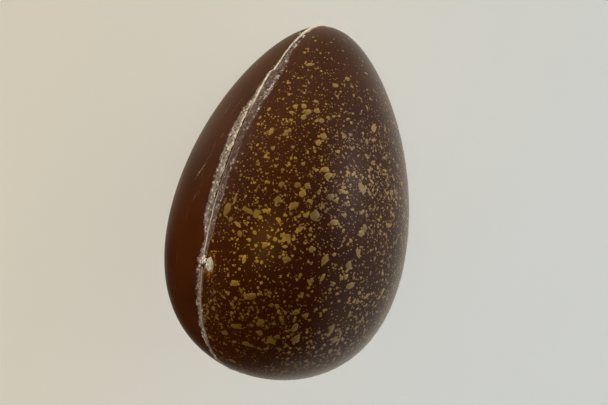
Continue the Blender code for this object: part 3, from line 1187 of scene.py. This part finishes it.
@dataclass(frozen=True)
class ShellScratches(EggPart):
    """Fine scratches on the plain half: slim burrs along the egg, the clearest placed one by one."""

    # Start and end pixels, then half the width in millimetres, and how pale the scratch is
    clear: tuple = (
        (206.4, 161.8, 194.2, 180.0, 0.060, 0.75), (246.0, 93.0, 228.3, 117.8, 0.045, 0.45),
        (261.0, 82.0, 250.0, 92.0, 0.040, 0.45), (223.6, 133.3, 220.5, 137.5, 0.075, 0.75),
        (213.0, 128.0, 203.0, 147.0, 0.045, 0.40), (207.0, 138.0, 197.0, 158.0, 0.040, 0.35),
        (236.0, 96.0, 221.0, 119.0, 0.040, 0.35), (199.0, 190.0, 191.0, 203.0, 0.045, 0.45),
        (216.0, 141.0, 209.0, 158.0, 0.040, 0.40), (203.0, 177.0, 198.0, 196.0, 0.040, 0.35))
    faint: int = 90
    faint_half_width: float = 0.032
    faint_length: float = 8 * MM
    length_spread: float = 0.45
    way_spread: float = 0.22
    width_range: tuple[float, float] = (0.6, 1.3)
    faint_tones: tuple[float, float] = (0.15, 0.45)
    off_seam: float = 0.12
    bend: float = 0.10 * MM
    sink: float = 0.012 * MM
    ridge: float = 0.016 * MM
    steps: int = 24
    seed: int = 55

    def ends(self, rng: Rng) -> tuple[Array, Array, Array, Array]:
        """Where each scratch starts and ends, its half width and its tone: the clear ones come first.

        Args:
            rng: the source of random draws.

        Returns:
            Starts, ends, half widths and tones.
        """
        ball = unit(rng.normal(size=(self.faint, 3)))
        ball[:, 0] = -np.abs(ball[:, 0]) - self.off_seam
        middle = self.form.from_sphere(unit(ball))
        way = ALONG + rng.normal(0.0, self.way_spread, (self.faint, 3))
        length = self.faint_length * np.exp(rng.normal(0.0, self.length_spread, self.faint))
        reach = 0.5 * length[:, None] * unit(way)
        starts = [self.seam.view.on_shell(scratch[0:2]) for scratch in self.clear]
        ends = [self.seam.view.on_shell(scratch[2:4]) for scratch in self.clear]
        widths, tones = np.array(self.clear)[:, 4:].T
        faint_widths = self.faint_half_width * rng.uniform(*self.width_range, self.faint)
        return (np.concatenate([starts, self.form.wrap(middle - reach)]),
                np.concatenate([ends, self.form.wrap(middle + reach)]),
                np.concatenate([widths, faint_widths]) * MM,
                np.concatenate([tones, rng.uniform(*self.faint_tones, self.faint)]))

    def build(self) -> bpy.types.Object:
        """Every scratch as a three-sided sliver: two sunk edges and a ridge, narrowing to its ends.

        Returns:
            The scratches' object.
        """
        starts, ends, widths, tones = self.ends(np.random.default_rng(self.seed))
        along = np.linspace(0.0, 1.0, self.steps)[:, None]
        line = self.form.wrap(starts[:, None] + along * (ends - starts)[:, None])
        normals = self.form.normals(line)
        aside = unit(np.cross(normals, unit(ends - starts)[:, None]))
        line = line + self.bend * lattice_noise(line, 3, 91)[..., None] * aside
        slim = widths[:, None] * np.sqrt(np.sin(math.pi * (0.02 + 0.96 * along[:, 0])))
        patch = Patch()
        tone = tones[:, None] + 0.25 * lattice_noise(line, 1.2, 92)
        low, ridge, high = (
            patch.add(line + share * slim[..., None] * aside + height * normals, tone=tone)
            for share, height in ((-1.0, -self.sink), (0.0, self.ridge), (1.0, -self.sink)))
        first = np.arange(len(widths)) * self.steps
        here = (first[:, None] + np.arange(self.steps - 1)).reshape(-1)
        for near, far in ((low, ridge), (ridge, high), (high, low)):
            patch.face(far + here, near + here, near + here + 1, far + here + 1)
        last = first + self.steps - 1
        patch.face(low + first, ridge + first, high + first)
        patch.face(high + last, ridge + last, low + last)
        return patch.build("shell_scratches", self.rest, 35)


# Shader maths

def operator(operation: str, swapped: bool = False) -> Callable[["Sock", Any], "Sock"]:
    """An operator that adds one Math node.

    Args:
        operation: the node's operation.
        swapped: puts the other value first, for the reflected form.

    Returns:
        The method.
    """
    def method(self: "Sock", other: Any) -> "Sock":
        """One Math node on this output and a number or another output."""
        values = (other, self) if swapped else (self, other)
        return self.nodes.node("ShaderNodeMath", {"operation": operation}, dict(enumerate(values)))

    return method


class Sock:
    """A node's output that adds, takes away and multiplies as a number does."""

    __add__, __radd__ = operator("ADD"), operator("ADD", True)
    __sub__, __rsub__ = operator("SUBTRACT"), operator("SUBTRACT", True)
    __mul__, __rmul__ = operator("MULTIPLY"), operator("MULTIPLY", True)

    def __init__(self, nodes: "Nodes", socket: bpy.types.NodeSocket) -> None:
        """Wrap one output."""
        self.nodes = nodes
        self.socket = socket

    def eased(self, low: float, high: float) -> "Sock":
        """An eased rise from 0 at low to 1 at high; low may be above high, for a fall."""
        ends = {"From Min": min(low, high), "From Max": max(low, high),
                "To Min": float(low > high), "To Max": float(low <= high)}
        return self.nodes.node("ShaderNodeMapRange", {"interpolation_type": "SMOOTHSTEP"},
                               {"Value": self, **ends}, "Result")


class Nodes:
    """A node tree, with the few kinds of node that this egg's finishes and light need."""

    def __init__(self, tree: bpy.types.NodeTree) -> None:
        """Work on a tree."""
        self.tree = tree

    def plug(self, socket: bpy.types.NodeSocket, value: Any) -> None:
        """Set a socket to a number, colour or vector, or link it to a wrapped output."""
        if isinstance(value, Sock):
            self.tree.links.new(value.socket, socket)
        elif isinstance(value, tuple) and socket.type == "RGBA":
            socket.default_value = (*value, 1.0)
        else:
            socket.default_value = value

    def node(self, kind: str, settings: dict[str, Any], inputs: dict[Any, Any], output: Any = 0) -> Sock:
        """One node of any kind.

        Args:
            kind: the node's type.
            settings: its properties, such as its operation, set before its sockets.
            inputs: values or links for its sockets, by name or number.
            output: the output that is wanted, by name or number.

        Returns:
            That output.
        """
        node = self.tree.nodes.new(kind)
        for key, value in settings.items():
            setattr(node, key, value)
        for key, value in inputs.items():
            self.plug(node.inputs[key], value)
        return Sock(self, node.outputs[output])

    def spot(self, kind: str = "Object") -> Sock:
        """The object's own coordinates, or for the sky the direction."""
        return self.node("ShaderNodeTexCoord", {}, {}, kind)

    def mix(self, share: Any, first: Any, second: Any) -> Sock:
        """A colour between two, by a share from 0 to 1."""
        settings = {"data_type": "RGBA", "clamp_factor": True}
        return self.node("ShaderNodeMix", settings, {0: share, 6: first, 7: second}, 2)

    def towards(self, vector: Sock, way: Triple) -> Sock:
        """How far a vector points one way, from -1 to 1."""
        inputs = {0: vector, 1: tuple(Vector(way).normalized())}
        return self.node("ShaderNodeVectorMath", {"operation": "DOT_PRODUCT"}, inputs, "Value")


class Surface(Nodes):
    """A material with one Principled shader, and the nodes that feed it. Lengths are in millimetres."""

    def __init__(self, name: str) -> None:
        """Start a material of that name."""
        self.material = bpy.data.materials.new(name)
        self.material.use_nodes = True
        super().__init__(self.material.node_tree)
        self.shader = self.tree.nodes["Principled BSDF"]

    def value(self, name: str) -> Sock:
        """A number kept on the mesh's points."""
        return self.node("ShaderNodeAttribute", {"attribute_name": name}, {}, "Fac")

    def noise(self, size: float, detail: float = 2.0, roughness: float = 0.5, warp: float = 0.0,
              drawn: Triple = (1.0, 1.0, 1.0)) -> Sock:
        """Noise from 0 to 1 with lumps of a size.

        Args:
            size: the lumps' size.
            detail: octaves added.
            roughness: how strong the finer octaves are.
            warp: bends the lumps out of round.
            drawn: how many times longer the lumps are along X, Y and Z.

        Returns:
            The noise.
        """
        vector = self.spot()
        if drawn != (1.0, 1.0, 1.0):
            share = tuple(1.0 / value for value in drawn)
            vector = self.node("ShaderNodeVectorMath", {"operation": "MULTIPLY"}, {0: vector, 1: share})
        inputs = {"Vector": vector, "Scale": 1.0 / (size * MM), "Detail": detail, "Roughness": roughness,
                  "Distortion": warp}
        return self.node("ShaderNodeTexNoise", {}, inputs, "Fac")

    def grains(self, size: float) -> Sock:
        """Distance to the nearest of scattered points that lie about a size apart."""
        inputs = {"Vector": self.spot(), "Scale": 1.0 / (size * MM)}
        return self.node("ShaderNodeTexVoronoi", {}, inputs, "Distance")

    def raised(self, height: Sock, depth: float, share: Any = 1.0, **over: Sock) -> Sock:
        """A normal bent by a height from 0 to 1.

        Args:
            height: the height.
            depth: what a height of 1 stands for.
            share: how much of it is used.
            over: as Normal, a normal that is bent already.

        Returns:
            The normal.
        """
        inputs = {"Strength": share, "Distance": depth * MM, "Height": height, **over}
        return self.node("ShaderNodeBump", {}, inputs)

    def finish(self, **sockets: Any) -> bpy.types.Material:
        """Feed the shader's sockets, with spaces in their names written as underscores.

        Args:
            sockets: values or links.

        Returns:
            The material.
        """
        for name, value in sockets.items():
            self.plug(self.shader.inputs[name.replace("_", " ")], value)
        return self.material


# Finishes. Colours are linear

@dataclass(frozen=True)
class Scraping:
    """Colours of a scraped rim's pits, broken face and flakes, and how flaky and how deep its grain is."""

    pit: Triple
    face: Triple
    flake: Triple
    flakiness: float
    depth: float


@dataclass(frozen=True)
class ChocolateFinish:
    """Satin dark milk chocolate, rough and pale where it was scraped, with bloom beside the scrape."""

    side: Side
    dark: Triple = (0.0235, 0.0044, 0.0004)
    light: Triple = (0.0330, 0.0073, 0.0008)
    bloom: Triple = (0.075, 0.042, 0.034)
    crumbly: Scraping = Scraping(
        (0.056, 0.034, 0.023), (0.170, 0.128, 0.096), (0.430, 0.375, 0.300), 1.0, 0.12)
    smeared: Scraping = Scraping(
        (0.030, 0.014, 0.009), (0.084, 0.053, 0.041), (0.290, 0.230, 0.195), 0.75, 0.09)
    strip: Triple = (0.430, 0.365, 0.270)
    scratch: Triple = (0.110, 0.070, 0.045)
    amber: Triple = (0.125, 0.043, 0.006)
    gold_mist: Triple = (0.115, 0.052, 0.007)
    gloss: float = 0.20
    scraped_gloss: float = 0.75

    def skin(self, surface: Surface, drift: Sock, haze: Sock) -> Sock:
        """The whole chocolate's colour: slow drifts, a mist of gold on its half, bloom and an amber stain.

        Args:
            surface: the material.
            drift: its slowest noise.
            haze: where the bloom lies.

        Returns:
            The colour.
        """
        colour = surface.mix(drift.eased(0.30, 0.72), self.dark, self.light)
        if self.side is Side.GILDED:
            fine = surface.noise(0.55, 2.0, 0.7).eased(0.58, 0.72)
            patches = surface.noise(9).eased(0.35, 0.75)
            colour = surface.mix(fine * (0.08 + 0.40 * patches), colour, self.gold_mist)
        smear = surface.noise(2.6, 3.0, 0.6, 0.8).eased(0.35, 0.80)
        colour = surface.mix(haze * smear * 0.30, colour, self.bloom)
        spots = surface.noise(1.1, 2.0, 0.6).eased(0.44, 0.60)
        return surface.mix(surface.value("chip") * (0.25 + 0.75 * spots), colour, self.amber)

    def broken(self, surface: Surface, scraping: Scraping, grain: Sock) -> Sock:
        """The scraped rim's colour: pits and faces by its grain, and flakes about scattered points."""
        colour = surface.mix(grain.eased(0.38, 0.58), scraping.pit, scraping.face)
        flake = surface.grains(1.05).eased(0.48, 0.22) * surface.noise(1.6).eased(0.42, 0.58)
        return surface.mix(flake * scraping.flakiness, colour, scraping.flake)

    def material(self) -> bpy.types.Material:
        """The half's material, which reads the shell's scrape, haze, chip and strip values.

        Returns:
            The material.
        """
        surface = Surface(f"{self.side.name.lower()}_chocolate")
        scrape, haze = surface.value("scrape"), surface.value("haze")
        drift = surface.noise(22, 3.0, 0.55)
        colour = self.skin(surface, drift, haze)
        scraping = self.crumbly if self.side is Side.PLAIN else self.smeared
        grain = surface.noise(0.80, 3.0, 0.65)
        broken = self.broken(surface, scraping, grain)
        if self.side is Side.PLAIN:
            broken = surface.mix(surface.value("strip") * grain.eased(0.32, 0.56), broken, self.strip)
            fine = surface.noise(1.4, 2.0, 0.5, 0.0, (0.22, 30.0, 1.0)).eased(0.735, 0.80)
            colour = surface.mix(fine * drift.eased(0.48, 0.60) * 0.7, colour, self.scratch)
        gloss = self.gloss + 0.08 * surface.noise(5, 3.0) + 0.10 * haze
        gloss = gloss + scrape * (self.scraped_gloss - self.gloss)
        ripple = surface.raised(surface.noise(2.2, 2.0, 0.4), 0.010)
        bent = surface.raised(grain, scraping.depth, scrape, Normal=ripple)
        colour = surface.mix(scrape, colour, broken)
        return surface.finish(Base_Color=colour, Roughness=gloss, Normal=bent, IOR=1.5)


@dataclass(frozen=True)
class GoldFinish:
    """Edible gold blown on as a fine powder: brightest round each fleck's edge, olive and thinner inside,
    with a painted highlight of richer orange where it shimmers.
    """

    shimmer_highlight: Triple = (0.400, 0.205, 0.008)
    bright: Triple = (0.255, 0.136, 0.004)
    dull: Triple = (0.112, 0.054, 0.004)
    thin: Triple = (0.135, 0.069, 0.003)
    metal: float = 0.06
    gloss: float = 0.24
    powder_ior: float = 2.7

    def material(self) -> bpy.types.Material:
        """The flecks' material, which reads each fleck's tone, and how deep inside it a point lies.

        Returns:
            The material.
        """
        surface = Surface("blown_gold")
        tone, deep = surface.value("tone"), surface.value("deep")
        colour = surface.mix(tone.eased(0.05, 0.95), self.dull, self.bright)
        # Tones above 1 take the painted highlight's richer orange
        colour = surface.mix(tone.eased(0.95, 1.30), colour, self.shimmer_highlight)
        worn = surface.noise(0.9, 3.0, 0.6)
        colour = surface.mix(deep.eased(0.10, 0.75) * (0.20 + 0.80 * worn), colour, self.thin)
        colour = surface.mix(worn.eased(0.56, 0.74) * 0.50, colour, self.thin)
        gloss = self.gloss + 0.16 * surface.noise(0.5)
        powder = surface.raised(surface.noise(0.22, 2.0, 0.6), 0.02, 0.6)
        return surface.finish(Base_Color=colour, Roughness=gloss, Metallic=self.metal, Normal=powder,
                              IOR=self.powder_ior)


@dataclass(frozen=True)
class CreamFinish:
    """Pale cream, matt, greyer and browner where chocolate was dragged over it, and near black as painted
    shade on the walls seen down the crack.
    """

    pale: Triple = (0.540, 0.490, 0.365)
    dull: Triple = (0.350, 0.310, 0.210)
    dragged: Triple = (0.150, 0.085, 0.050)
    hollow_shade: Triple = (0.030, 0.013, 0.006)
    chip: Triple = (0.130, 0.112, 0.072)
    chip_pale: Triple = (0.375, 0.355, 0.245)

    def material(self) -> bpy.types.Material:
        """The cream's material: blotches and dark grains, browner where its tone is low, near black as
        painted shade where it is lowest.

        Returns:
            The material.
        """
        surface = Surface("pale_cream")
        tone, lump = surface.value("tone"), surface.value("lump")
        fine = surface.noise(0.55, 3.0, 0.7)
        colour = surface.mix(surface.noise(1.3, 3.0, 0.6).eased(0.36, 0.62), self.dull, self.pale)
        colour = surface.mix(fine.eased(0.56, 0.70) * 0.8, colour, self.dragged)
        colour = surface.mix((tone + 0.9 * (fine - 0.5)).eased(0.75, 0.05), colour, self.dragged)
        # Painted shade: the lowest tones, on the plate's walls and the bead's sunk edges, turn near black as
        # the crack's shade
        colour = surface.mix(tone.eased(-0.45, -0.95), colour, self.hollow_shade)
        inside = surface.mix(fine.eased(0.38, 0.52), self.chip, self.chip_pale)
        grain = surface.raised(surface.noise(0.35, 3.0, 0.6), 0.06, 0.8)
        return surface.finish(Base_Color=surface.mix(lump, colour, inside), Roughness=0.58, Normal=grain)


@dataclass(frozen=True)
class CrumbFinish:
    """Crumbs of scraped chocolate, from brown to pale with bloom, and near black in one heap that is painted
    shade for a hole.
    """

    hollow_shade: Triple = (0.004, 0.002, 0.001)
    brown: Triple = (0.070, 0.036, 0.022)
    grey: Triple = (0.240, 0.185, 0.140)
    pale: Triple = (0.680, 0.620, 0.540)

    def material(self) -> bpy.types.Material:
        """The crumbs' material, which reads each crumb's tone.

        Returns:
            The material.
        """
        surface = Surface("chocolate_crumb")
        tone = surface.value("tone") + 0.25 * (surface.noise(0.3) - 0.5)
        # Painted shade: the lowest tones turn near black
        colour = surface.mix(tone.eased(-0.25, 0.05), self.hollow_shade, self.brown)
        colour = surface.mix(tone.eased(0.15, 0.60), colour, self.grey)
        colour = surface.mix(tone.eased(0.65, 0.95), colour, self.pale)
        return surface.finish(Base_Color=colour, Roughness=0.55)


# The floor and the light

@dataclass(frozen=True)
class Lamp:
    """One soft lamp far off. Bearing, height and softness are in degrees."""

    name: str
    bearing: float
    height: float
    strength: float
    softness: float = 25.0
    shadows: bool = False
    tint: Triple = (1.0, 0.98, 0.95)

    def build(self) -> None:
        """Make the light, unseen in the egg's gloss. A strength of 1 from above shows white as white."""
        light = bpy.data.lights.new(self.name, "SUN")
        light.energy = math.pi * self.strength
        light.angle = math.radians(self.softness)
        light.color = self.tint
        light.use_shadow = light.cycles.cast_shadow = self.shadows
        lamp = bpy.data.objects.new(self.name, light)
        bearing, height = math.radians(self.bearing), math.radians(self.height)
        flat = math.cos(height)
        way = Vector((flat * math.cos(bearing), flat * math.sin(bearing), math.sin(height)))
        lamp.matrix_world = Matrix.Translation(way) @ (-way).to_track_quat("-Z", "Y").to_matrix().to_4x4()
        lamp.visible_glossy = lamp.visible_camera = False
        bpy.context.scene.collection.objects.link(lamp)


@dataclass(frozen=True)
class Glow:
    """A soft patch of the sky: its direction, where its edge starts and ends, and its colour."""

    way: Triple
    edge: tuple[float, float]
    colour: Triple


@dataclass(frozen=True)
class Studio:
    """A plain pale floor under soft light, with a paler side, a cool window and a dark side to shine."""

    floor_half: float = 12.0
    backdrop_radius: float = 7.5
    backdrop_foot: float = -0.2
    backdrop_columns: int = 96
    backdrop_rows: int = 24
    # The floor's painted tints of warm light on the left and cool light on the right
    floor_warm_light_tint: Triple = (0.825, 0.790, 0.680)
    floor_cool_light_tint: Triple = (0.775, 0.828, 0.850)
    floor_grey: Triple = (0.5, 0.5, 0.5)
    backdrop: Triple = (0.62, 0.62, 0.58)
    overhead: Triple = (0.030, 0.026, 0.020)
    left_side: Triple = (0.26, 0.225, 0.15)
    right_side: Triple = (0.40, 0.37, 0.32)
    left_below: Triple = (0.28, 0.235, 0.17)
    right_below: Triple = (0.60, 0.56, 0.48)
    glows: tuple = (
        Glow((-0.10, -0.70, 0.70), (0.45, 0.90), (0.002, 0.001, 0.001)),
        Glow((0.75, 0.51, 0.44), (0.90, 0.99), (0.64, 0.60, 0.55)),
        Glow((0.76, 0.51, 0.42), (0.985, 0.997), (1.25, 1.17, 1.08)),
        Glow((-0.30, 0.10, 0.95), (0.965, 0.997), (0.95, 0.54, 0.14)),
        Glow((-0.75, -0.66, 0.00), (0.35, 0.85), (0.020, 0.010, 0.005)),
    )
    lamps: tuple = (
        Lamp("overhead_soft", 60.0, 86.0, 0.22, 40.0, True),
        Lamp("left_soft", 150.0, 6.0, 0.98),
        Lamp("far_soft", 97.0, 6.0, 0.86),
        Lamp("right_soft", 42.0, 6.0, 0.47),
        Lamp("near_soft", 215.0, 20.0, 0.52),
    )

    def stand(self, name: str, points: list, faces: list, material: bpy.types.Material) -> bpy.types.Object:
        """Set up a part of the studio that the egg doesn't mirror.

        Args:
            name: the part's name.
            points: its corners.
            faces: its sides, as rows of corner numbers.
            material: its material.

        Returns:
            Its object.
        """
        mesh = bpy.data.meshes.new(name)
        mesh.from_pydata(points, [], faces)
        mesh.materials.append(material)
        part = bpy.data.objects.new(name, mesh)
        part.visible_glossy = False
        bpy.context.scene.collection.objects.link(part)
        return part

    def floor(self) -> None:
        """The floor, warm on the left and cooler on the right: a painted tint of warm and cool light across
        it.
        """
        half = self.floor_half
        surface = Surface("pale_floor")
        across = surface.towards(surface.spot(), (1.0, -0.25, 0.0))
        # Painted light: the tint turns from warm on the left to cool on the right
        colour = surface.mix(across.eased(-0.16, 0.16), self.floor_warm_light_tint, self.floor_cool_light_tint)
        colour = surface.mix(0.04 * surface.noise(50, 3.0), colour, self.floor_grey)
        corners = [(-half, -half, 0.0), (half, -half, 0.0), (half, half, 0.0), (-half, half, 0.0)]
        self.stand("floor", corners, [(0, 1, 2, 3)], surface.finish(Base_Color=colour, Roughness=0.9))

    def wall(self) -> None:
        """The pale wall all round, a rounded tube from under the floor to overhead, which lights nothing."""
        columns, rows = self.backdrop_columns, self.backdrop_rows
        around, rise = np.meshgrid(np.linspace(0.0, TURN, columns + 1),
                                   np.linspace(self.backdrop_foot, math.pi / 2, rows + 1))
        flat = np.cos(rise)
        points = np.stack([flat * np.cos(around), flat * np.sin(around), np.sin(rise)], axis=-1)
        here = np.arange(rows)[:, None] * (columns + 1) + np.arange(columns)
        faces = np.stack([here, here + columns + 1, here + columns + 2, here + 1], axis=-1).reshape(-1, 4)
        points = self.backdrop_radius * points.reshape(-1, 3)
        paint = Surface("pale_backdrop").finish(
            Base_Color=(0.0, 0.0, 0.0), Roughness=1.0, Specular_IOR_Level=0.0,
            Emission_Color=self.backdrop, Emission_Strength=1.0)
        wall = self.stand("backdrop", points.tolist(), faces.tolist(), paint)
        wall.visible_diffuse = wall.visible_shadow = False

    def sky(self) -> None:
        """Light from all round, dimmer overhead, with its glows."""
        world = bpy.data.worlds.new("studio")
        world.use_nodes = True
        nodes = Nodes(world.node_tree)
        way = nodes.spot("Generated")
        rise = nodes.towards(way, (0.0, 0.0, 1.0))
        level = nodes.towards(way, (1.0, -0.1, 0.0)).eased(-0.2, 0.8)
        sides = nodes.mix(level, self.left_side, self.right_side)
        low = nodes.towards(way, (1.0, -0.2, 0.0)).eased(-0.6, 0.6)
        below = nodes.mix(low, self.left_below, self.right_below)
        colour = nodes.mix(rise.eased(0.25, 1.0), sides, self.overhead)
        colour = nodes.mix(rise.eased(-0.25, -0.70), colour, below)
        for glow in self.glows:
            colour = nodes.mix(nodes.towards(way, glow.way).eased(*glow.edge), colour, glow.colour)
        nodes.plug(world.node_tree.nodes["Background"].inputs["Color"], colour)
        bpy.context.scene.world = world

    def build(self) -> None:
        """Floor, wall, sky and lamps."""
        self.floor()
        self.wall()
        self.sky()
        for lamp in self.lamps:
            lamp.build()
        bpy.context.scene.view_settings.view_transform = "Standard"


def hand_over(piece: bpy.types.Object, material: bpy.types.Material, slot: Slot, *nodes: str) -> None:
    """Dress a piece, fix it to the egg, and hide the solids that it stands for.

    Args:
        piece: the finished piece.
        material: its material.
        slot: the record's slot, which the log shows.
        nodes: the solids that it replaces.
    """
    piece.data.materials.append(material)
    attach(piece, "root")
    for node in nodes:
        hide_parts(node)
    LOG.info("%s rides on the egg, in %s", piece.name, slot.value)


def main() -> None:
    """Build the egg's surfaces, its gold and its crumbs, then the studio and the camera."""
    form = EggForm()
    rest = RestingPlace(form)
    view = View(form, rest)
    parts = (form, rest, Seam(form, view))

    halves = {Side.PLAIN: (Slot.CHOCOLATE, "plain_half"), Side.GILDED: (Slot.GILDED, "gold_half")}
    for side, (slot, node) in halves.items():
        hand_over(MouldedHalf(*parts, side).build(), ChocolateFinish(side).material(), slot, node)
    hand_over(CreamSeam(*parts).build(), CreamFinish().material(), Slot.CREAM, "cream_seam")
    gold = GoldFinish().material()
    for piece in GoldSpatter(*parts).build():
        hand_over(piece, gold, Slot.GILDED)
    crumb = CrumbFinish().material()
    for piece in (SeamCrumbs(*parts).build(), ShellScratches(*parts).build()):
        hand_over(piece, crumb, Slot.CHOCOLATE)

    Studio().build()
    view.build()


if __name__ == "__main__":
    main()
